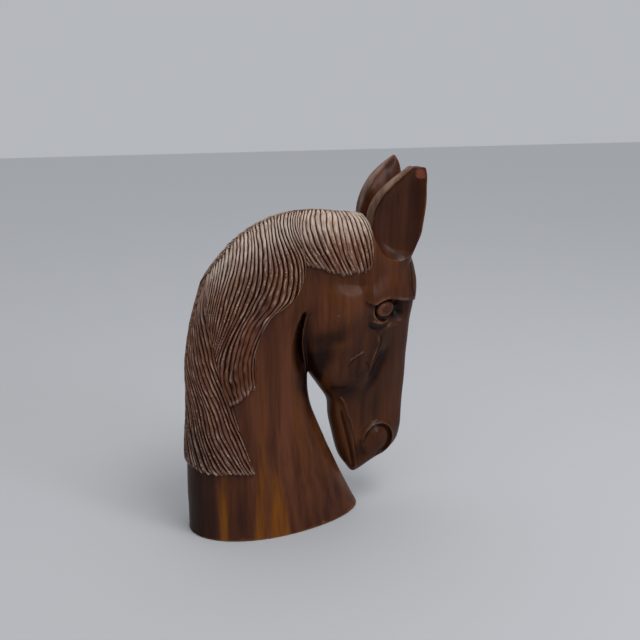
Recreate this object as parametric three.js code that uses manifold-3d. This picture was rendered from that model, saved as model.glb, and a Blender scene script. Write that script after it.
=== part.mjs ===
// A horse's head carved from one block of dark hardwood, about half a metre tall. The neck is cut flat
// below and stands by itself, the chin is tucked in, and the mane lies in three combed locks on each side.
// Millimetres, +X the way the horse faces, +Y its left, +Z up, with the origin in the middle of the foot.
import * as THREE from "three";
import { mergeVertices } from "three/addons/utils/BufferGeometryUtils.js";
import Module from "manifold-3d";

const wasm = await Module();
wasm.setup();

// Driving dimensions
const MANE_RISE = 5; // how far a lock stands proud of the neck
const MANE_ROOT = 5; // how deep a lock is rooted in the neck
const STRAND_DEPTH = 1.7; // from the ridge of a strand to the groove beside it
const EAR_RIM = 5; // thickness of the rim round the hollow of the ear
const EAR_HOLLOW = 15; // depth of that hollow at its deepest
const BROKEN_TIP = 493; // height at which the tip of the right ear has broken off
const BROW_STEP = 3.5; // how far the brow overhangs the eye
const LIP_GROOVE = 3; // depth of the line between the lips

// A loft is described by rows. back and front are the ends of a section in the side view (x, z), half is
// half its width, square below 1 fills out its corners, and lean is how much of the width the front keeps.
// asideBack and asideFront move its two ends off the middle, to the horse's right.
const row = (backX, backZ, frontX, frontZ, half, square, lean, asideBack = 0, asideFront = 0) => ({
  backX, backZ, frontX, frontZ, half, square, lean, asideBack, asideFront,
});

const NECK = [
  row(-127, 0, 124, 0, 71, 0.95, 0.85), // the foot
  row(-127, 50, 100, 50, 65, 0.95, 0.85),
  row(-125, 110, 73, 112, 60, 0.92, 0.8),
  row(-120, 180, 51, 172, 57, 0.9, 0.75), // narrowest, behind the chin
  row(-115, 265, 48, 225, 56, 0.88, 0.75),
  row(-89, 351, 57, 268, 56, 0.86, 0.75),
  row(-30, 412, 86, 302, 54, 0.86, 0.8),
  row(40, 434, 118, 322, 50, 0.86, 0.9), // top of the crest
  row(126, 427, 154, 335, 42, 0.86, 0.95), // the poll, behind the ears
];

const HEAD = [
  row(114, 50, 125, 51, 9, 1, 0.8), // the lips
  row(107, 60, 145, 66, 21, 0.85, 0.8),
  row(99, 72, 166, 77, 28, 0.8, 0.8),
  row(93, 88, 186, 91, 33, 0.8, 0.75),
  row(87, 112, 193, 113, 34, 0.8, 0.7), // the nostrils
  row(81, 140, 195, 140, 32, 0.8, 0.65),
  row(79, 166, 197, 168, 33, 0.8, 0.62), // the corner of the mouth
  row(66, 188, 199, 195, 38, 0.78, 0.6),
  row(50, 212, 200, 222, 45, 0.75, 0.58),
  row(38, 240, 202, 250, 51, 0.72, 0.56),
  row(29, 268, 204, 276, 55, 0.7, 0.56), // the cheek
  row(22, 294, 207, 296, 55, 0.7, 0.6),
  row(14, 312, 209, 311, 52, 0.7, 0.68), // the brow
  row(-10, 338, 211, 330, 49, 0.68, 0.76),
  row(0, 368, 209, 352, 46, 0.66, 0.86),
  row(50, 392, 200, 374, 42, 0.72, 0.9),
  row(100, 410, 184, 394, 35, 0.9, 0.9),
  row(132, 414, 160, 406, 14, 1, 1), // the poll
];

const EAR = [
  row(130, 358, 178, 340, 8, 0.8, 1, 12, 14), // rooted in the head
  row(129, 382, 191, 366, 12.5, 0.7, 1, 20, 27),
  row(127, 408, 199, 391, 13, 0.65, 1, 23, 34),
  row(127, 436, 202, 415, 13, 0.62, 1, 23, 37),
  row(136, 458, 205, 438, 12.5, 0.62, 0.9, 28, 38),
  row(151, 475, 206, 458, 11, 0.65, 0.8, 34, 39),
  row(170, 491, 205, 478, 8.5, 0.7, 0.8, 38, 38),
  row(184, 502, 200, 495, 5, 0.8, 0.9, 37, 36),
  row(191, 507, 194, 505, 2, 1, 1, 35, 35), // the tip
];

// A lock is combed along guide strands, first the one nearest the tail end of the neck. Each point of a
// guide is a place on the neck: how far up it, from 0 to 1, and how many degrees round from the crest.
const LOCKS = {
  nape: {
    strands: 18,
    rise: MANE_RISE - 0.5,
    guides: [
      [[0.648, 0], [0.588, 0], [0.53, 0], [0.47, 0], [0.409, 0], [0.335, 0], [0.24, 0]],
      [[0.649, 2], [0.589, 14], [0.53, 23], [0.466, 30], [0.4, 34], [0.32, 36], [0.228, 40]],
      [[0.65, 4], [0.598, 29], [0.54, 47], [0.472, 59], [0.399, 65], [0.315, 72], [0.224, 78]],
    ],
    steps: 6,
  },
  side: {
    strands: 21,
    rise: MANE_RISE + 1,
    guides: [
      [[0.648, 0], [0.613, 14], [0.577, 28], [0.539, 40], [0.496, 49], [0.451, 55], [0.405, 62]],
      [[0.765, 0], [0.734, 31], [0.685, 54], [0.624, 66], [0.558, 69], [0.491, 71], [0.425, 76]],
      [[0.885, 0], [0.839, 38], [0.788, 77], [0.703, 97], [0.619, 88], [0.534, 84], [0.451, 87]],
    ],
    steps: 8,
  },
  poll: {
    strands: 15,
    rise: MANE_RISE + 0.5,
    guides: [
      [[0.88, 0], [0.862, 19], [0.836, 40], [0.807, 61], [0.783, 80]],
      [[0.945, 0], [0.933, 28], [0.909, 58], [0.883, 85], [0.86, 109]],
      [[0.99, 0], [0.99, 27], [0.984, 57], [0.967, 86], [0.945, 112]],
    ],
    steps: 4,
  },
};

const EYE = { at: [147, 300], radius: [16, 7, 12], out: 42 };
const NOSTRIL = { at: [150, 107], radius: [25, 9, 24], out: 27, hollow: [19, 8, 18], sunk: 36 };

const rad = THREE.MathUtils.degToRad;
const smooth = THREE.MathUtils.smoothstep;
const bump = (d) => Math.exp(-d * d);

// Catmull-Rom through four neighbours, with f from 0 to 1 between the middle two.
function spline(a, b, c, d, f) {
  return b + 0.5 * f * (c - a + f * (2 * a - 5 * b + 4 * c - d + f * (3 * (b - c) + d - a)));
}

// The row between the rows of a table, with t from 0 at the first to 1 at the last.
function between(rows, t) {
  const x = THREE.MathUtils.clamp(t, 0, 1) * (rows.length - 1);
  const i = Math.min(Math.floor(x), rows.length - 2);
  const near = [-1, 0, 1, 2].map((k) => rows[THREE.MathUtils.clamp(i + k, 0, rows.length - 1)]);
  const mixed = Array.isArray(rows[0]) ? [] : {};
  for (const key of Object.keys(rows[0])) mixed[key] = spline(...near.map((r) => r[key]), x - i);
  return mixed;
}

// A point of a loft: t runs along it, and the angle runs from the back, 0, over its right side to the front.
function onLoft(rows, t, angle) {
  const r = between(rows, t);
  const toBack = (1 + Math.cos(angle)) / 2;
  const keep = r.lean + (1 - r.lean) * smooth(toBack, 0, 1);
  const out = Math.sin(angle);
  return new THREE.Vector3(
    r.frontX + (r.backX - r.frontX) * toBack,
    -r.half * keep * Math.sign(out) * Math.abs(out) ** r.square -
      (r.asideFront + (r.asideBack - r.asideFront) * toBack),
    r.frontZ + (r.backZ - r.frontZ) * toBack,
  );
}

// A point that stands off a loft by some height along its normal, which points out of the solid.
function offLoft(rows, t, angle, height) {
  const step = 0.004;
  const along = onLoft(rows, t + step, angle).sub(onLoft(rows, t - step, angle));
  const round = onLoft(rows, t, angle + step).sub(onLoft(rows, t, angle - step));
  const normal = along.cross(round).normalize();
  return onLoft(rows, t, angle).addScaledVector(normal, -height);
}

// A solid of manifold-3d from a closed three.js geometry.
function solid(geometry) {
  const bare = geometry.clone();
  bare.deleteAttribute("normal");
  bare.deleteAttribute("uv");
  const merged = mergeVertices(bare, 1e-3);
  const made = new wasm.Manifold(
    new wasm.Mesh({
      numProp: 3,
      vertProperties: merged.attributes.position.array,
      triVerts: new Uint32Array(merged.index.array),
    }),
  );
  return made;
}

// Moves every vertex of a geometry to where place(x, y, z) says.
function reshape(geometry, place) {
  const position = geometry.attributes.position;
  for (let i = 0; i < position.count; i++) {
    const p = place(position.getX(i), position.getY(i), position.getZ(i));
    position.setXYZ(i, p.x, p.y, p.z);
  }
  return geometry;
}

// A closed loft: a sphere whose rings become the sections. carve(point, t, angle) may move each point.
function loft(rows, rings, around, carve = (p) => p) {
  const ball = new THREE.SphereGeometry(1, around, rings);
  return solid(
    reshape(ball, (x, y, z) => {
      const t = Math.acos(THREE.MathUtils.clamp(-y, -1, 1)) / Math.PI;
      const pole = Math.hypot(x, z) < 1e-6;
      const angle = Math.atan2(-z, x);
      if (!pole) return carve(onLoft(rows, cap(t, rings), angle), cap(t, rings), angle);
      const r = rows[t < 0.5 ? 0 : rows.length - 1];
      return new THREE.Vector3(
        (r.backX + r.frontX) / 2,
        -(r.asideBack + r.asideFront) / 2,
        (r.backZ + r.frontZ) / 2,
      );
    }),
  );
}

// The first and last rings of the sphere lie on the first and last rows, and its poles close them flat.
const cap = (t, rings) => (t * rings - 1) / (rings - 2);

const mirrored = (s) => s.mirror([0, 1, 0]);
const bothSides = (s) => s.add(mirrored(s));
const ellipsoid = ([rx, ry, rz], [x, y, z], around = 14, rings = 8) =>
  solid(new THREE.SphereGeometry(1, around, rings).scale(rx, ry, rz).translate(x, y, z));

function neck() {
  return loft(NECK, 18, 28);
}

// The head carries the step of the brow and the line between the lips.
function head() {
  const lips = rad(36); // how far round from the chin the line between the lips lies
  return loft(HEAD, 34, 28, (p, t, angle) => {
    const brow = smooth(p.z, 301, 309) * smooth(p.x, 110, 145) * (1 - smooth(p.z, 345, 372));
    const line = bump((Math.abs(angle) - lips) / rad(7)) * (1 - smooth(p.z, 158, 172)) * smooth(p.z, 50, 62);
    const out = new THREE.Vector3(Math.max(0, Math.cos(Math.PI - angle)), Math.sin(-angle), 0);
    return p.addScaledVector(out, BROW_STEP * brow - LIP_GROOVE * line);
  });
}

// The right ear is a thick leaf with a flat edge behind.
function ear() {
  return loft(EAR, 14, 14);
}

// The deep hollow in the outer face of the right ear, inside the rim.
function earHollow() {
  const inner = EAR.slice(2, -2).map((r) => {
    const long = Math.hypot(r.backX - r.frontX, r.backZ - r.frontZ);
    const share = Math.min(0.3, EAR_RIM / long);
    const from = (a, b) => a + (b - a) * share;
    return {
      ...r,
      backX: from(r.backX, r.frontX),
      backZ: from(r.backZ, r.frontZ),
      frontX: from(r.frontX, r.backX),
      frontZ: from(r.frontZ, r.backZ),
      half: (EAR_HOLLOW * r.half) / EAR[2].half,
      square: 1,
      lean: 1,
      asideBack: r.asideBack + r.half,
      asideFront: r.asideFront + r.half,
    };
  });
  const low = row(140, 390, 190, 379, EAR_HOLLOW * 0.9, 1, 1, 36, 43);
  const floor = row(152, 374, 182, 368, EAR_HOLLOW / 2, 1, 1, 40, 43);
  return loft([floor, low, ...inner], 11, 12);
}

function brokenTip() {
  return solid(
    new THREE.BoxGeometry(80, 60, 40)
      .rotateX(rad(-12))
      .rotateY(rad(4))
      .translate(195, -38, BROKEN_TIP + 20),
  );
}

// One lock on the right side: a slab whose outer face is ridged, one ridge to a strand.
function lock({ guides, strands, rise, steps }) {
  const cells = strands * 2;
  const slab = new THREE.BoxGeometry(1, 1, 1, cells, 1, steps);
  return solid(
    reshape(slab, (x, y, z) => {
      const across = 0.5 - x;
      const down = 0.5 - z;
      const ridge = Math.round(across * cells) % 2 === 1;
      const [t, degrees] = between(guides.map((g) => between(g, down)), across);
      const top = rise - (ridge ? 0 : STRAND_DEPTH);
      return offLoft(NECK, t, rad(degrees), y > 0 ? top : -MANE_ROOT);
    }),
  );
}

function nostril() {
  const { at, radius, out, hollow, sunk } = NOSTRIL;
  return {
    flare: ellipsoid(radius, [at[0], -out, at[1]]),
    hollow: ellipsoid(hollow, [at[0] - 2, -sunk, at[1] - 2]),
  };
}

function carving() {
  const { flare, hollow } = nostril();
  const eye = ellipsoid(EYE.radius, [EYE.at[0], -EYE.out, EYE.at[1]]);
  let whole = neck().add(head()).add(bothSides(ear()));
  whole = whole.subtract(bothSides(earHollow())).subtract(brokenTip());
  whole = whole.add(bothSides(flare)).subtract(bothSides(hollow)).add(bothSides(eye));
  for (const name of Object.keys(LOCKS)) whole = whole.add(bothSides(lock(LOCKS[name])));
  return whole;
}

function geometryOf(made) {
  const { vertProperties, triVerts } = made.getMesh();
  return new THREE.BufferGeometry()
    .setAttribute("position", new THREE.BufferAttribute(vertProperties, 3))
    .setIndex(new THREE.BufferAttribute(triVerts, 1));
}

const wood = new THREE.MeshStandardMaterial({ color: 0x3a1f14, roughness: 0.42, metalness: 0 });
const horse = new THREE.Mesh(geometryOf(carving()), wood);
horse.name = "horse_head";

const sculpture = new THREE.Group();
sculpture.add(horse);

export default sculpture;
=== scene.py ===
import math

import bmesh
import bpy
import numpy as np
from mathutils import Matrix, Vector, noise


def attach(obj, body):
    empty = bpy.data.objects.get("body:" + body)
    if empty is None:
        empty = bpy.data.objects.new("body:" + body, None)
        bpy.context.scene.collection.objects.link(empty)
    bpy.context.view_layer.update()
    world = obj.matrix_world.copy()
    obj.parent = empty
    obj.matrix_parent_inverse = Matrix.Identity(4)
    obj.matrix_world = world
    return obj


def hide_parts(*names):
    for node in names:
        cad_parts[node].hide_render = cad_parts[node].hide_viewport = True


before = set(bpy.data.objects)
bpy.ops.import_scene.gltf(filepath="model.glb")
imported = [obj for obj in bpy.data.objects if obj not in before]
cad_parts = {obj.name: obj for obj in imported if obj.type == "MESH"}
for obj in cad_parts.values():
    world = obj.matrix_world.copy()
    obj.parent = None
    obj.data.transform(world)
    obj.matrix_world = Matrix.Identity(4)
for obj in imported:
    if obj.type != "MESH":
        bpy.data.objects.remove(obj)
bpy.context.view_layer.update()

# The block. The whole piece is cut from one baulk of close-grained dark hardwood with its grain upright.
# The sawyer's shape comes first: the arched neck, sawn off flat to stand on, and the head with its chin
# drawn in. Everything is measured in millimetres here and brought to metres when the block is finished.

# back x, back z, front x, front z, half width, squareness, share of the width that the front keeps
NECK_ROWS = np.array([
    (-127, 0, 124, 0, 71, 0.95, 0.85),
    (-127, 50, 100, 50, 65, 0.95, 0.85),
    (-125, 110, 73, 112, 60, 0.92, 0.80),
    (-120, 180, 51, 172, 57, 0.90, 0.75),
    (-115, 265, 48, 225, 56, 0.88, 0.75),
    (-89, 351, 57, 268, 56, 0.86, 0.75),
    (-30, 412, 86, 302, 54, 0.86, 0.80),
    (40, 434, 118, 322, 50, 0.86, 0.90),
    (126, 427, 154, 335, 42, 0.86, 0.95),
])
HEAD_ROWS = np.array([
    (114, 50, 125, 51, 9, 1.00, 0.80),
    (107, 60, 145, 66, 21, 0.85, 0.80),
    (99, 72, 166, 77, 28, 0.80, 0.80),
    (93, 88, 186, 91, 33, 0.80, 0.75),
    (87, 112, 193, 113, 34, 0.80, 0.70),
    (81, 140, 195, 140, 32, 0.80, 0.65),
    (79, 166, 197, 168, 33, 0.80, 0.62),
    (66, 188, 199, 195, 38, 0.78, 0.60),
    (50, 212, 200, 222, 45, 0.75, 0.58),
    (38, 240, 202, 250, 51, 0.72, 0.56),
    (29, 268, 204, 276, 55, 0.70, 0.56),
    (22, 294, 207, 296, 55, 0.70, 0.60),
    (14, 312, 209, 311, 52, 0.70, 0.68),
    (-10, 338, 211, 330, 49, 0.68, 0.76),
    (0, 368, 209, 352, 46, 0.66, 0.86),
    (50, 392, 200, 374, 42, 0.72, 0.90),
    (100, 410, 184, 394, 35, 0.90, 0.90),
    (132, 414, 160, 406, 14, 1.00, 1.00),
])


def smooth(x, low, high):
    f = np.clip((x - low) / (high - low), 0, 1)
    return f * f * (3 - 2 * f)


def row_shares(count, t):
    """How much each of a number of rows counts at t, on a smooth curve through them all."""
    x = np.clip(t, 0, 1) * (count - 1)
    i = np.minimum(x.astype(int), count - 2)
    f = x - i
    shares = np.zeros((len(x), count))
    parts = (2 * f**2 - f - f**3, 2 - 5 * f**2 + 3 * f**3, f + 4 * f**2 - 3 * f**3, f**3 - f**2)
    for k, part in enumerate(parts):
        np.add.at(shares, (np.arange(len(x)), np.clip(i + k - 1, 0, count - 1)), part / 2)
    return shares


def on_loft(rows, t, angle):
    """Points of a lofted form: t runs from its first row to its last, the angle from back to front."""
    r = row_shares(len(rows), t) @ rows
    back = (1 + np.cos(angle)) / 2
    out = np.sin(angle)
    wide = r[:, 4] * (r[:, 6] + (1 - r[:, 6]) * smooth(back, 0, 1))
    y = -wide * np.sign(out) * np.abs(out) ** r[:, 5]
    if rows.shape[1] > 7:
        y = y - r[:, 8] - (r[:, 7] - r[:, 8]) * back
    return np.stack([r[:, 2] + (r[:, 0] - r[:, 2]) * back, y, r[:, 3] + (r[:, 1] - r[:, 3]) * back], 1)


def places(mesh):
    flat = np.empty(len(mesh.vertices) * 3)
    mesh.vertices.foreach_get("co", flat)
    return flat.reshape(-1, 3)


def put(mesh, where):
    mesh.vertices.foreach_set("co", where.ravel())
    mesh.update()


def new_mesh(name, form):
    mesh = bpy.data.meshes.new(name)
    form.to_mesh(mesh)
    form.free()
    return mesh


def loft(name, rows, rings, around):
    """A closed form through the rows: a ball whose rings are laid on the sections."""
    ball = bmesh.new()
    bmesh.ops.create_uvsphere(ball, u_segments=around, v_segments=rings, radius=1)
    mesh = new_mesh(name, ball)
    at = places(mesh)
    up = np.arccos(np.clip(-at[:, 2], -1, 1)) / math.pi
    t = np.clip((up * rings - 1) / (rings - 2), 0, 1)
    where = on_loft(rows, t, np.arctan2(at[:, 1], at[:, 0]))
    for pole, ends in ((up < 0.001, t < 0.001), (up > 0.999, t > 0.999)):
        where[pole] = where[ends & ~pole].mean(0)
    put(mesh, where)
    return mesh


neck = loft("neck", NECK_ROWS, 60, 72)
head = loft("head", HEAD_ROWS, 90, 72)

# The ears. Each is a thick leaf standing on the poll, with a flat edge behind and a smooth deep bowl
# gouged into its outer face. The tip of the right ear has been knocked off and shows raw reddish wood.

# as for the neck, with how far its back and its front lie from the middle of the head
EAR_ROWS = np.array([
    (130, 358, 178, 340, 8, 0.80, 1.00, 12, 14),
    (129, 382, 191, 366, 12.5, 0.70, 1.00, 20, 27),
    (127, 408, 199, 391, 13, 0.65, 1.00, 23, 34),
    (127, 436, 202, 415, 13, 0.62, 1.00, 23, 37),
    (136, 458, 205, 438, 12.5, 0.62, 0.90, 28, 38),
    (151, 475, 206, 458, 11, 0.65, 0.80, 34, 39),
    (170, 491, 205, 478, 8.5, 0.70, 0.80, 38, 38),
    (184, 502, 200, 495, 5, 0.80, 0.90, 37, 36),
    (191, 507, 194, 505, 2, 1.00, 1.00, 35, 35),
])
EAR_RIM = (5.5, 1.8)  # the bare edge of the ear behind its bowl, and in front of it
EAR_DEPTH = 15  # of the bowl

ear = loft("ear", EAR_ROWS, 60, 48)

bowl_rows = EAR_ROWS[2:-1].copy()
long = np.hypot(bowl_rows[:, 0] - bowl_rows[:, 2], bowl_rows[:, 1] - bowl_rows[:, 3])
back_share = np.minimum(0.3, EAR_RIM[0] / long)[:, None]
front_share = np.minimum(0.2, EAR_RIM[1] / long)[:, None]
bowl_rows[:, 0:2] += (EAR_ROWS[2:-1, 2:4] - EAR_ROWS[2:-1, 0:2]) * back_share
bowl_rows[:, 2:4] += (EAR_ROWS[2:-1, 0:2] - EAR_ROWS[2:-1, 2:4]) * front_share
bowl_rows[:, 7:9] += EAR_ROWS[2:-1, 4:5]
bowl_rows[:, 4] *= EAR_DEPTH / EAR_ROWS[2, 4]
bowl_rows[:, 5:7] = (0.8, 1)
bowl_bottom = [
    (158, 367, 178, 362, 4, 0.8, 1, 43, 45),
    (150, 375, 185, 369, 9, 0.8, 1, 41, 44),
    (139, 390, 192, 379, 13.5, 0.8, 1, 37, 43),
]
bowl = loft("bowl", np.vstack([bowl_bottom, bowl_rows]), 50, 40)


def on_left(mesh):
    """The same form on the horse's left."""
    form = bmesh.new()
    form.from_mesh(mesh)
    bmesh.ops.scale(form, vec=(1, -1, 1), verts=form.verts)
    bmesh.ops.reverse_faces(form, faces=form.faces)
    return new_mesh(mesh.name + "_left", form)


def shifted(mesh, along_x):
    where = places(mesh)
    where[:, 0] += along_x(*where.T)
    put(mesh, where)
    return mesh


def changed(mesh, kind, **settings):
    """The mesh as it comes out of one modifier."""
    work = bpy.data.objects.new("work", mesh)
    bpy.context.scene.collection.objects.link(work)
    tool = work.modifiers.new("tool", kind)
    for key, value in settings.items():
        setattr(tool, key, value)
    graph = bpy.context.evaluated_depsgraph_get()
    made = bpy.data.meshes.new_from_object(work.evaluated_get(graph))
    bpy.data.objects.remove(work)
    return made


def together(name, meshes):
    heap = bmesh.new()
    for mesh in meshes:
        heap.from_mesh(mesh)
    return new_mesh(name, heap)


# the two ears aren't quite alike: the right one is broader at the tip, the left one narrower behind
right_side = [
    shifted(form.copy(), lambda x, y, z: 3.5 * smooth(z, 468, 492) * smooth(x, 184, 200))
    for form in (ear, bowl)
]
left_side = [
    shifted(on_left(form), lambda x, y, z: 3.5 * (1 - smooth(z, 455, 492)) * (1 - smooth(x, 145, 175)))
    for form in (ear, bowl)
]

GRID = 1.15  # spacing of the carved surface
sawn = together("block", [neck, head, right_side[0], left_side[0]])
block = changed(sawn, "REMESH", mode="VOXEL", voxel_size=GRID)

# The sanded transitions. After the sawing, the seams between neck and cheek, and between ears and poll,
# are rasped and sanded until they flow into each other.


def relax(mesh, where, amount, times):
    """Every point drifts towards the middle of its neighbours, as under sandpaper, by its own amount."""
    ends = np.empty(len(mesh.edges) * 2, dtype=np.int32)
    mesh.edges.foreach_get("vertices", ends)
    ends = ends.reshape(-1, 2)
    ends = ends[(amount[ends] > 0.001).any(1)]
    n = len(where)
    one, two = ends[:, 0], ends[:, 1]
    count = np.maximum(np.bincount(ends.ravel(), minlength=n), 1)
    for _ in range(times):
        for k in range(3):
            line = where[:, k]
            total = np.bincount(one, line[two], n) + np.bincount(two, line[one], n)
            where[:, k] = line + amount * (total / count - line)
    return where


def cut_or_join(mesh, operation, other):
    """One solid joined with another, or cut by it."""
    tool = bpy.data.objects.new("cutter", other)
    bpy.context.scene.collection.objects.link(tool)
    made = changed(mesh, "BOOLEAN", operation=operation, object=tool, solver="MANIFOLD")
    bpy.data.objects.remove(tool)
    return made


at = places(block)
x, y, z = at.T
seam = smooth(z, 306, 322) * (1 - smooth(z, 352, 372)) * (1 - smooth(x, 50, 80))
poll = smooth(z, 336, 352) * (1 - smooth(z, 372 + 0.4 * abs(y), 392 + 0.4 * abs(y))) * smooth(x, 112, 128)
at = relax(block, at, np.clip(seam + poll, 0, 1) * 0.9, 120)
at = relax(block, at, smooth(z, 4, 10) * 0.35, 8)
put(block, at)

# the bowls of the ears are cut after the sanding, so that their rims stay crisp
block = cut_or_join(block, "DIFFERENCE", right_side[1])
block = cut_or_join(block, "DIFFERENCE", left_side[1])

# The face. Brow, eye, the crest of bone below it, the hollows of the cheek, the flared nostril and the
# lips are cut with gouges into both sides alike. Each cut is a line or a hollow in the side view (x, z).


def trail(points):
    """A smooth line through a few points."""
    points = np.array(points, float)
    return row_shares(len(points), np.linspace(0, 1, 8 * len(points))) @ points


def from_line(points):
    """For every point of the block: its distance from the line, positive on the left of the way the
    line runs, and how far along the line it lies."""
    line = trail(points)
    best = np.full(len(x), 1e9)
    along = np.zeros(len(x))
    for i in range(len(line) - 1):
        a, step = line[i], line[i + 1] - line[i]
        f = np.clip(((x - a[0]) * step[0] + (z - a[1]) * step[1]) / (step @ step), 0, 1)
        dx, dz = x - a[0] - f * step[0], z - a[1] - f * step[1]
        off = np.hypot(dx, dz)
        closer = off < np.abs(best)
        best[closer] = (off * np.where(step[0] * dz - step[1] * dx >= 0, 1, -1))[closer]
        along[closer] = ((i + f) / (len(line) - 1))[closer]
    return best, along


def cut(points, width, depth, fade=0.15):
    """A rounded groove along a line, or a raised vein where the depth is negative."""
    off, along = from_line(points)
    ends = smooth(along, 0, fade) * (1 - smooth(along, 1 - fade, 1))
    return -depth * np.exp(-((off / width) ** 2)) * ends


def from_middle(middle, radii):
    """For every point of the block: its distance from a middle, in radii of the oval round it."""
    return np.hypot((x - middle[0]) / radii[0], (z - middle[1]) / radii[1])


def hollow(middle, radii, depth):
    """A dished hollow, or a swelling where the depth is negative."""
    return -depth * (1 - smooth(from_middle(middle, radii), 0.1, 1))


def normals(mesh):
    flat = np.empty(len(mesh.vertices) * 3, dtype=np.float32)
    mesh.vertex_normals.foreach_get("vector", flat)
    return flat.reshape(-1, 3).astype(float)


def mark(mesh, name, values):
    """A value kept on every point, for the finish."""
    layer = mesh.attributes.get(name) or mesh.attributes.new(name, "FLOAT", "POINT")
    layer.data.foreach_set("value", np.asarray(values, dtype=np.float32))


EYE = (151, 303)
EYE_RADII = (16.5, 13)
EYE_BULGE = 9.5
SOCKET = (150.5, 302)
SOCKET_RADII = (17.2, 16.5)
SOCKET_DEPTH = 6
BROW = [
    (108, 321), (117, 318), (126, 313), (134, 311), (143, 315),
    (155, 317), (168, 314), (184, 310), (208, 306),
]
JAW = [(33, 313), (31, 300), (29, 284), (29, 264), (32, 244), (37, 226), (39, 208)]

at = places(block)
x, y, z = at.T
facing = normals(block)
flank = smooth(np.abs(facing[:, 1]), 0.2, 0.55) * np.sign(facing[:, 1])

off, along = from_line(BROW)
above_brow = smooth(off, -1.0, 1.0) * (1 - smooth(off, 6, 42)) * smooth(x, 112, 134)
below_brow = 1 - smooth(off, -0.6, 0.6)
relief = 5.5 * above_brow
relief += hollow((165, 298), (34, 24), 8) * below_brow
relief += hollow((174, 296), (13, 21), 5) * below_brow
in_socket = 1 - smooth(from_middle(SOCKET, SOCKET_RADII), 0.92, 1.0)
relief = np.where(off < 0, relief + (-SOCKET_DEPTH - relief) * in_socket, relief)
r = from_middle(EYE, EYE_RADII)
ball = -SOCKET_DEPTH + EYE_BULGE * np.sqrt(np.clip(1 - r**3.2, 0, 1))
relief = np.where((r < 1) & (off < 0), np.maximum(relief, ball), relief)

# the lids, then the crest of bone, the cheek and the veins
relief += cut([(131, 290), (135, 286.5), (142, 284), (151, 283), (162, 286)], 1.4, -2.2, 0.25)
relief += cut([(122, 290), (130, 281), (141, 277), (153, 277), (165, 282)], 2.8, 2.2, 0.2)
relief += hollow((124, 293), (10, 10), 1.8)
relief += cut([(137, 271), (141, 260), (139, 248), (135, 237), (131, 223), (130, 209)], 4.5, -3.0, 0.2)
relief += cut([(144, 270), (146, 258), (143, 245), (139, 234), (134, 219)], 1.4, 2.2, 0.2)
relief += cut([(168, 262), (160, 243), (150, 226), (141, 209), (132, 192), (122, 174)], 10, 6.5, 0.4)
relief += hollow((74, 318), (70, 40), -3.4)
relief += cut([(28, 254), (43, 262), (57, 268), (74, 272), (92, 275), (106, 275), (118, 270)], 13, 3.2, 0.4)
relief += cut([(48, 240), (62, 256), (84, 262), (106, 254)], 13, -2.0, 0.3)
relief += hollow((62, 244), (17, 16), 2.6)
relief += hollow((106, 345), (34, 18), 2.6)
relief += cut([(94, 235), (101, 239), (109, 243), (121, 247)], 1.4, -1.8, 0.25)
relief += cut([(92, 223), (98, 231), (105, 238)], 1.3, 1.2, 0.25)
relief += cut([(108, 206), (114, 211), (119, 216)], 1.3, 1.2, 0.25)
relief += cut([(121, 231), (127, 222), (129, 213)], 1.3, 1.2, 0.25)
relief += hollow((92, 186), (28, 14), 4)
off, along = from_line(JAW)
wedge = np.clip(1 - np.maximum(-off, 0) / (3 + 26 * along), 0, 1) ** 1.5 * (1 - smooth(off, 0, 3.5))
wedge *= smooth(along, 0, 0.12) * (1 - smooth(along, 0.55, 1))
relief -= wedge * np.minimum(3 + 16 * along, 11)

# the nostril and the lips
NOSTRIL = (147, 104)
NOSTRIL_RADII = (24.5, 26)
lower_left = smooth(x - NOSTRIL[0] + z - NOSTRIL[1], -36, -8)
relief += hollow((149, 107), (37, 36), -8)
r = from_middle(NOSTRIL, NOSTRIL_RADII)
relief -= 4.6 * (1 - smooth(r, 0.90, 1.0)) * lower_left
relief += 2.0 * np.exp(-(((r - 1.04) / 0.06) ** 2)) * lower_left
relief -= 1.0 * np.exp(-(((r - 0.86) / 0.05) ** 2)) * lower_left * smooth(x + z, 225, 262)
relief += cut([(119, 112), (122, 96), (126, 80)], 4.5, 2.4, 0.3)
relief += cut([(78, 178), (83, 160), (87, 140), (92, 115), (99, 88), (107, 60)], 4, -1.4, 0.1)
relief += cut([(91, 160), (94, 146), (98, 128), (103, 106), (108, 82), (114, 55)], 1.3, 2.4, 0.2)
upper_lip = [(86, 180), (93, 172), (98, 158), (103, 142), (107, 122), (111, 101), (115, 78), (119, 60)]
relief += cut(upper_lip, 2.6, -1.8, 0.1)
relief += cut([(101, 148), (105, 131), (109, 113), (113, 93), (116, 76), (121, 56)], 1.3, 2.0, 0.15)
at[:, 1] += flank * relief

# painted shade darkens the grooves and hollows of both sides, where shade falls, with some dark stain
# rubbed in
off, along = from_line(JAW)
shade_and_stain = 0.9 * np.exp(-((off / (4 + 14 * along)) ** 2)) * smooth(along, 0, 0.1) + 0.5 * wedge
shade_and_stain += 0.9 * np.exp(-(((x - 50) / 17) ** 2)) * smooth(z, 110, 190) * (1 - smooth(z, 225, 260)) * (x < 62)
shade_and_stain -= 0.75 * cut([(28, 256), (43, 264), (57, 269), (74, 273), (92, 276), (104, 277)], 13, 1, 0.4)
shade_and_stain -= 0.75 * hollow((62, 243), (22, 28), 1)
shade_and_stain -= 0.65 * hollow((90, 186), (42, 28), 1)
shade_and_stain -= 0.85 * cut([(170, 258), (158, 238), (148, 220), (138, 202), (126, 180), (118, 158)], 9, 1, 0.35)
shade_and_stain -= 0.95 * hollow((172, 297), (20, 24), 1)
shade_and_stain -= 0.8 * cut([(118, 290), (128, 281), (141, 277), (156, 279)], 6, 1, 0.3)
shade_and_stain -= 0.7 * cut([(112, 113), (117, 92), (124, 72)], 10, 1, 0.4)
shade_and_stain *= np.abs(flank)

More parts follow.
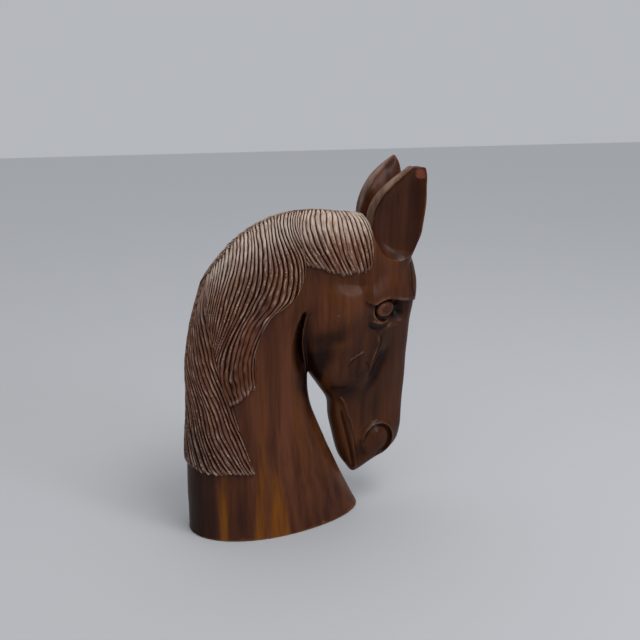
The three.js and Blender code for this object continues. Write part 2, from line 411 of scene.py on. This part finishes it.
# the crease down the forehead
crease = cut([(193, 366), (196, 344), (197, 326), (201, 314)], 1.6, 2.0, 0.1) * smooth(x, 172, 182)
at += facing * crease[:, None]
put(block, at)
mark(block, "shaded_and_stained", np.clip(shade_and_stain, 0, 1))

# The knife marks. Scraping the wood by hand with a knife leaves the flat of the neck and the cheeks very
# slightly wavy, in strokes that follow the upright grain.
STROKE = 26  # length of a stroke

facing = normals(block)
wave = np.array([noise.noise(Vector((p[0] / 14, p[1] / 14, p[2] / STROKE))) for p in at])
broad = np.array([noise.noise(Vector((p[0] / 45 + 7, p[1] / 45, p[2] / 80))) for p in at])
keep_flat = smooth(at[:, 2], 0.3, 3)
at += facing * (keep_flat * (0.35 * wave + 0.8 * broad - 0.4))[:, None]
put(block, at)

# The broken tip of the right ear. The wood has snapped off across the grain, and a chip has come off its
# outer face too. The break was never stained, so it is rough and raw.
CUT_AWAY = 20  # how thick the wood is that a break takes off
BREAKS = {
    "tip": dict(at=(193, -42, 493), faces=(0.08, -0.20, 0.97), size=20, rough=0.7, bowed=0),
    "chip": dict(at=(196, -44.5, 486), faces=(0.10, -0.88, 0.46), size=9, rough=1.0, bowed=0.02),
}

for name, place in BREAKS.items():
    break_form = bmesh.new()
    bmesh.ops.create_grid(break_form, x_segments=60, y_segments=60, size=place["size"])
    bmesh.ops.solidify(break_form, geom=break_form.faces[:], thickness=CUT_AWAY)
    bmesh.ops.translate(break_form, vec=(0, 0, CUT_AWAY), verts=break_form.verts)
    break_mesh = new_mesh(name, break_form)
    where = places(break_mesh)
    lumps = np.array([noise.fractal(Vector((p[0] / 6, p[1] / 6, 3)), 0.8, 2.2, 4) for p in where])
    away = np.hypot(where[:, 0], where[:, 1])
    broken_face = place["rough"] * lumps + place["bowed"] * away**2
    where[:, 2] += np.where(where[:, 2] < 1, broken_face, 0)
    turn = Vector((0, 0, 1)).rotation_difference(Vector(place["faces"])).to_matrix()
    put(break_mesh, where @ np.array(turn).T + np.array(place["at"]))
    block = cut_or_join(block, "DIFFERENCE", break_mesh)

# The mane. Three combed locks lie on each side, one over the nape, one over the side of the neck and one
# over the poll. Each stands a few millimetres proud with its edge undercut, and is scored with a V tool
# into strands about five millimetres wide.

ROOT = 4.5  # how deep a lock is let into the block
SLIGHT = 0.004  # a short way along the surface, to find which way it faces
V_CUT = 2.3  # depth of the V between two strands

# Guides run from the crest to the end of a lock, as (place up the neck, degrees round from the crest).
# first and last number the strands at the two edges of the lock, at even steps down it.
LOCKS = {
    "nape": dict(
        rise=4.2, length=260, width=95, seed=3,
        first=[20, 18.1, 13.9, 10.7, 7.0, 3.5, -1],
        last=[22, 24.9, 24.9, 24.5, 23, 22.2, 21],
        guides=[
            [(0.648, 0), (0.588, 0), (0.53, 0), (0.47, 0), (0.409, 0), (0.335, 0), (0.240, 0)],
            [(0.649, 2), (0.589, 14), (0.53, 23), (0.466, 30), (0.40, 34), (0.320, 36), (0.228, 40)],
            [(0.65, 4), (0.598, 29), (0.54, 47), (0.472, 59), (0.399, 65), (0.315, 72), (0.224, 78)],
        ],
    ),
    "side": dict(
        rise=5.8, length=235, width=100, seed=11,
        first=[0, 0.8, 4.6, 9.1, 14.8, 16, 16],
        last=[31.5, 31.2, 28.2, 25.9, 24, 24.5, 24.7],
        guides=[
            [(0.648, 0), (0.613, 14), (0.577, 28), (0.539, 40), (0.496, 49), (0.451, 55), (0.405, 62)],
            [(0.765, 0), (0.734, 31), (0.685, 54), (0.624, 66), (0.558, 69), (0.491, 71), (0.425, 76)],
            [(0.885, 0), (0.839, 38), (0.788, 77), (0.703, 97), (0.619, 88), (0.534, 84), (0.451, 87)],
        ],
    ),
    "poll": dict(
        rise=5.6, length=98, width=95, seed=23,
        first=[2, 2, 2, 1.4, 0],
        last=[20, 19.3, 18.3, 17, 16],
        guides=[
            [(0.885, 0), (0.863, 19), (0.836, 40), (0.807, 61), (0.783, 80)],
            [(0.945, 0), (0.933, 28), (0.909, 58), (0.883, 85), (0.86, 109)],
            [(0.999, 0), (0.999, 27), (0.987, 57), (0.967, 86), (0.945, 112)],
        ],
    ),
}


def chance(number, seed):
    """A fixed random value from 0 to 1 for every strand."""
    return np.modf(np.abs(np.sin(number * 12.9898 + seed * 78.233) * 43758.5453))[0]


def lock(name, rise, length, width, seed, first, last, guides):
    guides = np.array(guides, float)
    columns = 9 * 24  # nine to a strand
    rows = int(length / 2.2)
    sheet = bmesh.new()
    bmesh.ops.create_grid(sheet, x_segments=columns, y_segments=rows, size=0.5)
    bmesh.ops.solidify(sheet, geom=sheet.faces[:], thickness=1)
    mesh = new_mesh(name, sheet)
    flat = places(mesh)
    inner = np.abs(flat[:, 2]) > 0.5
    across, down = 0.5 - flat[:, 0], 0.5 - flat[:, 1]
    ends = row_shares(len(first), down) @ np.array([first, last], float).T
    strand = ends[:, 0] + across * (ends[:, 1] - ends[:, 0])
    drift = [noise.noise(Vector((s / 3, d * length / 40, seed))) for s, d in zip(strand, down)]
    jitter = [noise.noise(Vector((s, d * length / 12, seed + 5))) for s, d in zip(strand, down)]
    strand = strand + 0.45 * np.array(drift) + 0.16 * np.array(jitter)
    number = np.floor(strand)
    v = np.abs(strand - number - 0.5) * 2
    height = rise - V_CUT * v**2.2 * (0.75 + 0.5 * chance(number, seed + 1))
    height += 0.9 * (chance(number, seed + 2) - 0.5) * (1 - v**2) + 0.5 * np.array(jitter)
    side_edge = np.minimum(across, 1 - across) * width
    end_edge = (1 - down) * length
    height *= 1 - 0.4 * np.exp(-((side_edge / 1.6) ** 2)) * (across > 0.02)
    height *= 1 - 0.45 * np.exp(-((end_edge / 2.5) ** 2))
    reach = 1 + (5 * (chance(number, seed) - 0.5) - 2.2 * v**2) / length
    down = down * np.where(inner, 1 - 3 / length, reach)
    across = np.where(inner, 0.5 + (across - 0.5) * (1 - 5 / width), across)
    parts = row_shares(guides.shape[1], down)
    near = np.einsum("nj,gjk->ngk", parts, guides)
    beyond = np.maximum(down - 1, 0)[:, None, None] * (guides[:, -1] - guides[:, -2]) * 4
    near = near + beyond
    t, degrees = np.einsum("ng,ngk->kn", row_shares(len(guides), across), near)
    degrees = degrees - 3 * np.clip(1 - degrees / 12, 0, 1)
    angle = np.radians(degrees)
    one = on_loft(NECK_ROWS, t + SLIGHT, angle) - on_loft(NECK_ROWS, t - SLIGHT, angle)
    two = on_loft(NECK_ROWS, t, angle + SLIGHT) - on_loft(NECK_ROWS, t, angle - SLIGHT)
    out = np.cross(two, one)
    out /= np.linalg.norm(out, axis=1)[:, None]
    where = on_loft(NECK_ROWS, t, angle) + out * np.where(inner, -ROOT, height)[:, None]
    put(mesh, where)
    form = bmesh.new()
    form.from_mesh(mesh)
    bmesh.ops.recalc_face_normals(form, faces=form.faces)
    mesh = new_mesh(name, form)
    mark(mesh, "combed", np.ones(len(mesh.vertices)))
    for bare in ("sunk", "shaded_and_stained", "rim"):
        mark(mesh, bare, np.zeros(len(mesh.vertices)))
    mark(mesh, "across", strand + 40 * seed)
    mark(mesh, "down", down * length)
    return mesh


# the flat edge behind each ear, and how deep each point lies in the hollows of the block
at = places(block)
for name in ("combed", "across", "down"):
    mark(block, name, np.zeros(len(at)))
rearward = smooth(0.55 * normals(block)[:, 2] - normals(block)[:, 0], 0.35, 0.8)
behind = 1 - smooth(at[:, 0] - 140 - 0.7 * np.maximum(at[:, 2] - 440, 0), 0, 8)
mark(block, "rim", rearward * behind * smooth(at[:, 2], 396, 412) * smooth(at[:, 0], 120, 126))
evened = relax(block, at.copy(), np.full(len(at), 0.9), 90)
below_ears = 1 - smooth(at[:, 2], 366, 386)
depth = np.einsum("nk,nk->n", evened - at, normals(block))
mark(block, "sunk", np.clip(depth / 2.5, -1, 1) * below_ears)

horse = block
for name, sizes in LOCKS.items():
    one_lock = lock(name, **sizes)
    horse = cut_or_join(horse, "UNION", one_lock)
    horse = cut_or_join(horse, "UNION", on_left(one_lock))

# The wear and the painted light. Shade is painted into the cuts, and the ridges have been worn by hands and
# dusted pale, with a painted highlight where they face up. How far each point stands above the wood around
# it, and how far it faces up, is kept for the colours.
at = places(horse)
facing = normals(horse)
blurred = relax(horse, at.copy(), np.full(len(at), 0.8), 14)
height = np.einsum("nk,nk->n", at - blurred, facing)
mark(horse, "proud", np.clip(height / 0.8, -1, 1))
soft = horse.copy()
put(soft, blurred)
mark(horse, "skyward", normals(soft)[:, 2])

MOST_TRIANGLES = 195000
horse = changed(horse, "TRIANGULATE")
if len(horse.polygons) > MOST_TRIANGLES:
    horse = changed(horse, "DECIMATE", ratio=MOST_TRIANGLES / len(horse.polygons))

form = bmesh.new()
form.from_mesh(horse)
bmesh.ops.scale(form, vec=(0.001, 0.001, 0.001), verts=form.verts)
bmesh.ops.dissolve_degenerate(form, dist=1e-6, edges=form.edges)
for face in form.faces:
    face.smooth = True
horse = new_mesh("carved_horse_head", form)
horse.set_sharp_from_angle(angle=math.radians(42))

carving = bpy.data.objects.new("carved_horse_head", horse)
bpy.context.scene.collection.objects.link(carving)
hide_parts("horse_head")
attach(carving, "root")

# The wood. Dark red-brown stained hardwood under a thin satin lacquer, rubbed on by hand. Shade is painted
# nearly black into the hollows; the wood is amber in streaks at the foot, and tan and dusty on the ridges
# of the mane, with a painted highlight where they face up. Places are in metres from here on.


class Value:
    """A shader value that can be added, multiplied and so on."""

    def __init__(self, tree, socket):
        self.tree = tree
        self.socket = socket

    def node(self, kind, out=0, settings=None, **inputs):
        made = self.tree.nodes.new(kind)
        for key, value in (settings or {}).items():
            setattr(made, key, value)
        for key, value in inputs.items():
            name = int(key[1:]) if key[0] == "_" else key.replace("_", " ")
            socket = made.inputs[name]
            if isinstance(value, Value):
                self.tree.links.new(value.socket, socket)
            else:
                socket.default_value = value
        return Value(self.tree, made.outputs[out])

    def maths(self, operation, one, two):
        return self.node("ShaderNodeMath", settings={"operation": operation}, _0=one, _1=two)

    def __add__(self, other):
        return self.maths("ADD", self, other)

    def __sub__(self, other):
        return self.maths("SUBTRACT", self, other)

    def __rsub__(self, other):
        return self.maths("SUBTRACT", other, self)

    def __mul__(self, other):
        return self.maths("MULTIPLY", self, other)

    def __pow__(self, other):
        return self.maths("POWER", self, other)

    __radd__ = __add__

    def between(self, low, high):
        """0 below low, 1 above high, smooth between them."""
        return self.node(
            "ShaderNodeMapRange", settings={"interpolation_type": "SMOOTHSTEP"},
            Value=self, From_Min=low, From_Max=high,
        )

    def mix(self, one, two):
        """A colour between two others, with this value as the share of the second."""
        return self.node(
            "ShaderNodeMix", out=2, settings={"data_type": "RGBA"}, _0=self,
            _6=one if isinstance(one, Value) else (*one, 1),
            _7=two if isinstance(two, Value) else (*two, 1),
        )


wood = bpy.data.materials.new("stained_hardwood")
wood.use_nodes = True
tree = wood.node_tree
tree.nodes.clear()
start = Value(tree, None)
coords = start.node("ShaderNodeTexCoord", out="Object")


def noise_at(scale, stretch, detail, rough, shift=(0, 0, 0)):
    """Cloudy variation, with its size along x, y and z set apart by stretch."""
    turned = start.node("ShaderNodeMapping", Vector=coords, Scale=stretch, Location=shift)
    return start.node("ShaderNodeTexNoise", Vector=turned, Scale=scale, Detail=detail, Roughness=rough)


def kept(name):
    """A value that was kept on every point."""
    return start.node("ShaderNodeAttribute", out="Fac", settings={"attribute_name": name})


combed, proud, sunk, shaded_and_stained, skyward, rim, across, down = (
    kept(name) for name in ("combed", "proud", "sunk", "shaded_and_stained", "skyward", "rim", "across", "down")
)
split = start.node("ShaderNodeSeparateXYZ", out="X", Vector=coords)
px, py, pz = (Value(tree, split.socket.node.outputs[name]) for name in "XYZ")

grain = noise_at(75, (1, 1, 0.05), 6, 0.62)
streak = noise_at(30, (1, 1, 0.07), 4, 0.55, shift=(3, 1, 2))
cloud = noise_at(8, (1, 1, 0.6), 3, 0.5, shift=(9, 2, 5))
speck = noise_at(420, (1, 1, 1), 2, 0.5)
patchy = noise_at(45, (1, 1, 0.5), 4, 0.6)
along_hair = start.node("ShaderNodeCombineXYZ", X=across, Y=down * 0.02, Z=0.0)
hair = start.node("ShaderNodeTexNoise", Vector=along_hair, Scale=3.2, Detail=3, Roughness=0.6)

DARK = (0.009, 0.0022, 0.0016)
UMBER = (0.050, 0.0145, 0.0062)
CHESTNUT = (0.110, 0.035, 0.0155)
AMBER = (0.180, 0.055, 0.004)
WORN_EDGE = (0.20, 0.085, 0.040)
RAW = (0.150, 0.046, 0.027)
TAN = (0.47, 0.375, 0.295)
TAWNY = (0.215, 0.110, 0.080)
CREAM = (0.62, 0.42, 0.22)

# the stained wood, darker in clouds and towards the face and the muzzle, with painted shade down the front
# of the neck below the head
body = grain.between(0.30, 0.70).mix(UMBER, CHESTNUT)
face = px.between(0.09, 0.17) * (1 - pz.between(0.360, 0.385))
muzzle = face * (1 - pz.between(0.11, 0.17))
# painted shade: the front of the neck under the head, which is turned from the light
throat_shade = px.between(0.0, 0.05) * (1 - pz.between(0.20, 0.30)) * (1 - face)
darker = cloud.between(0.44, 0.68) * 0.55 + face * 0.24 + muzzle * 0.36 + throat_shade * 0.30
body = darker.mix(body, DARK)

# amber streaks, strongest at the foot, and painted shade on the back edge behind them, which faces away
# from the light
foot = (1 - pz.between(0.04, 0.20)) * (1 - px.between(-0.02, 0.05)) * px.between(-0.112, -0.085)
amber = (foot + 0.22) * streak.between(0.42, 0.60) * (1 - face * 0.6)
body = (amber * 0.9).mix(body, AMBER)
# painted shade on the back edge at the foot
back_edge_shade = (1 - px.between(-0.122, -0.095)) * (1 - pz.between(0.14, 0.20))
body = (back_edge_shade * 0.85).mix(body, DARK)

# painted shade in the hollows, worn edges, and dust on the flat edge behind each ear
# painted shade: the deeper a point lies in a hollow, the darker
body = (sunk.between(0.10, 0.80) * 0.6).mix(body, DARK)
# painted shade, with some stain, in the grooves and hollows of the face and along the jaw
body = (shaded_and_stained.between(0.04, 0.95) * (0.82 + patchy.between(0.3, 0.6) * 0.15)).mix(body, DARK)
edge = (1 - combed) * proud.between(0.2, 0.8) * patchy.between(0.35, 0.6)
body = (edge * 0.5).mix(body, WORN_EDGE)
dusty = rim * (0.10 + grain.between(0.35, 0.65) * 0.20)
body = dusty.mix(body, TAN)

# the mane: tawny ridges, with a painted highlight that turns them tan where they face up, partly worn pale
# too, and pale nicks at the ends of the strands
ridge = combed * proud.between(-0.10, 0.45)
crown = skyward.between(0.20, 0.66)
strands = hair.between(0.36, 0.62)
body = (ridge * (0.30 + crown * 0.3 + strands * 0.35)).mix(body, TAWNY)
thin = combed * proud.between(0.30, 0.62) * hair.between(0.48, 0.62)
# painted highlight on the ridges that face up, partly pale wear
wear_and_highlight = ridge * crown * (0.22 + patchy.between(0.3, 0.6) * 0.18 + strands * 0.6)
pale = thin * 0.48 * (1 - crown) + wear_and_highlight
body = pale.mix(body, TAN)
nick = combed * proud.between(0.3, 0.6) * speck.between(0.60, 0.72) * (1 - crown)
body = (nick * 0.8).mix(body, CREAM)

# painted shade in the cuts, pale flecks, and raw wood where the ear is chipped
groove_shade = (proud * -1.0).between(0.06, 0.6) * (0.35 + combed * 0.5)
body = groove_shade.mix(body, DARK)
fleck = (1 - combed) * speck.between(0.80, 0.84) * patchy.between(0.62, 0.70)
body = fleck.mix(body, CREAM)
near_chip = ((px - 0.196) ** 2.0 + (py + 0.044) ** 2.0 + (pz - 0.486) ** 2.0) ** 0.5
raw = 1 - (near_chip + (speck - 0.5) * 0.004).between(0.0085, 0.0105)
body = raw.mix(body, RAW)

shader = tree.nodes.new("ShaderNodeBsdfPrincipled")
tree.links.new(body.socket, shader.inputs["Base Color"])
rough = 0.42 + pale * 0.3 + raw * 0.3 + (cloud - 0.5) * 0.2 + (grain - 0.5) * 0.12
tree.links.new(rough.socket, shader.inputs["Roughness"])
coat = (1 - pale) * (1 - raw) * (0.20 + (cloud - 0.5) * 0.3)
tree.links.new(coat.socket, shader.inputs["Coat Weight"])
shader.inputs["Coat Roughness"].default_value = 0.21
shader.inputs["Specular IOR Level"].default_value = 0.03
shader.inputs["Coat IOR"].default_value = 1.5
pores = grain * 0.6 + speck * 0.4 + combed * hair * 1.2
bump = start.node("ShaderNodeBump", Strength=0.22, Distance=0.0004, Height=pores)
tree.links.new(bump.socket, shader.inputs["Normal"])
surface = tree.nodes.new("ShaderNodeOutputMaterial")
tree.links.new(shader.outputs[0], surface.inputs[0])
horse.materials.clear()
horse.materials.append(wood)

# The studio. A wide pale floor under a pale sky that is brightest overhead, with a tall soft window to
# the right of the camera and a soft skylight above.
floor_form = bmesh.new()
bmesh.ops.create_grid(floor_form, x_segments=1, y_segments=1, size=7)
studio_floor = bpy.data.objects.new("studio_floor", new_mesh("studio_floor", floor_form))
bpy.context.scene.collection.objects.link(studio_floor)
pale_floor = bpy.data.materials.new("pale_floor")
pale_floor.use_nodes = True
floor_shader = pale_floor.node_tree.nodes["Principled BSDF"]
floor_shader.inputs["Base Color"].default_value = (0.42, 0.415, 0.41, 1)
floor_shader.inputs["Roughness"].default_value = 0.9
studio_floor.data.materials.append(pale_floor)

world = bpy.data.worlds.new("studio")
world.use_nodes = True
sky_tree = world.node_tree
sky_start = Value(sky_tree, None)
way = sky_start.node("ShaderNodeTexCoord", out="Generated")
height = sky_start.node("ShaderNodeSeparateXYZ", out="Z", Vector=way)
ceiling = height.between(0.05, 0.75).mix((0.10, 0.095, 0.09), (0.95, 1.0, 1.08))
seen = sky_start.node("ShaderNodeLightPath", out="Is Camera Ray")
ceiling = seen.mix(ceiling, (0.46, 0.475, 0.50))
sky_tree.links.new(ceiling.socket, sky_tree.nodes["Background"].inputs["Color"])
bpy.context.scene.world = world


def soft_light(name, place, aim, width, tall, power, colour):
    lamp = bpy.data.lights.new(name, "AREA")
    lamp.shape = "RECTANGLE"
    lamp.size = width
    lamp.size_y = tall
    lamp.energy = power
    lamp.color = colour
    holder = bpy.data.objects.new(name, lamp)
    holder.location = place
    holder.rotation_euler = (Vector(aim) - Vector(place)).to_track_quat("-Z", "Y").to_euler()
    bpy.context.scene.collection.objects.link(holder)


soft_light("window", (1.35, -1.75, 1.15), (0.08, 0, 0.34), 0.5, 1.4, 12, (0.82, 0.89, 1.0))
soft_light("skylight", (0.50, -0.90, 2.30), (0, 0, 0.30), 0.9, 0.9, 20, (0.98, 0.98, 1.0))

# The camera, at the photograph's place and with its angle of view.
camera_data = bpy.data.cameras.new("camera")
SENSOR = 36
FOCAL_SHARE = 790 / 640  # focal length in widths of the picture
camera_data.sensor_width = SENSOR
camera_data.lens = FOCAL_SHARE * SENSOR
camera = bpy.data.objects.new("camera", camera_data)
camera.location = (-0.2925, -0.9907, 0.590)
camera.rotation_euler = Vector((0.3286, 0.9028, -0.2773)).to_track_quat("-Z", "Y").to_euler()
bpy.context.scene.collection.objects.link(camera)
bpy.context.scene.camera = camera
bpy.context.scene.view_settings.view_transform = "Standard"
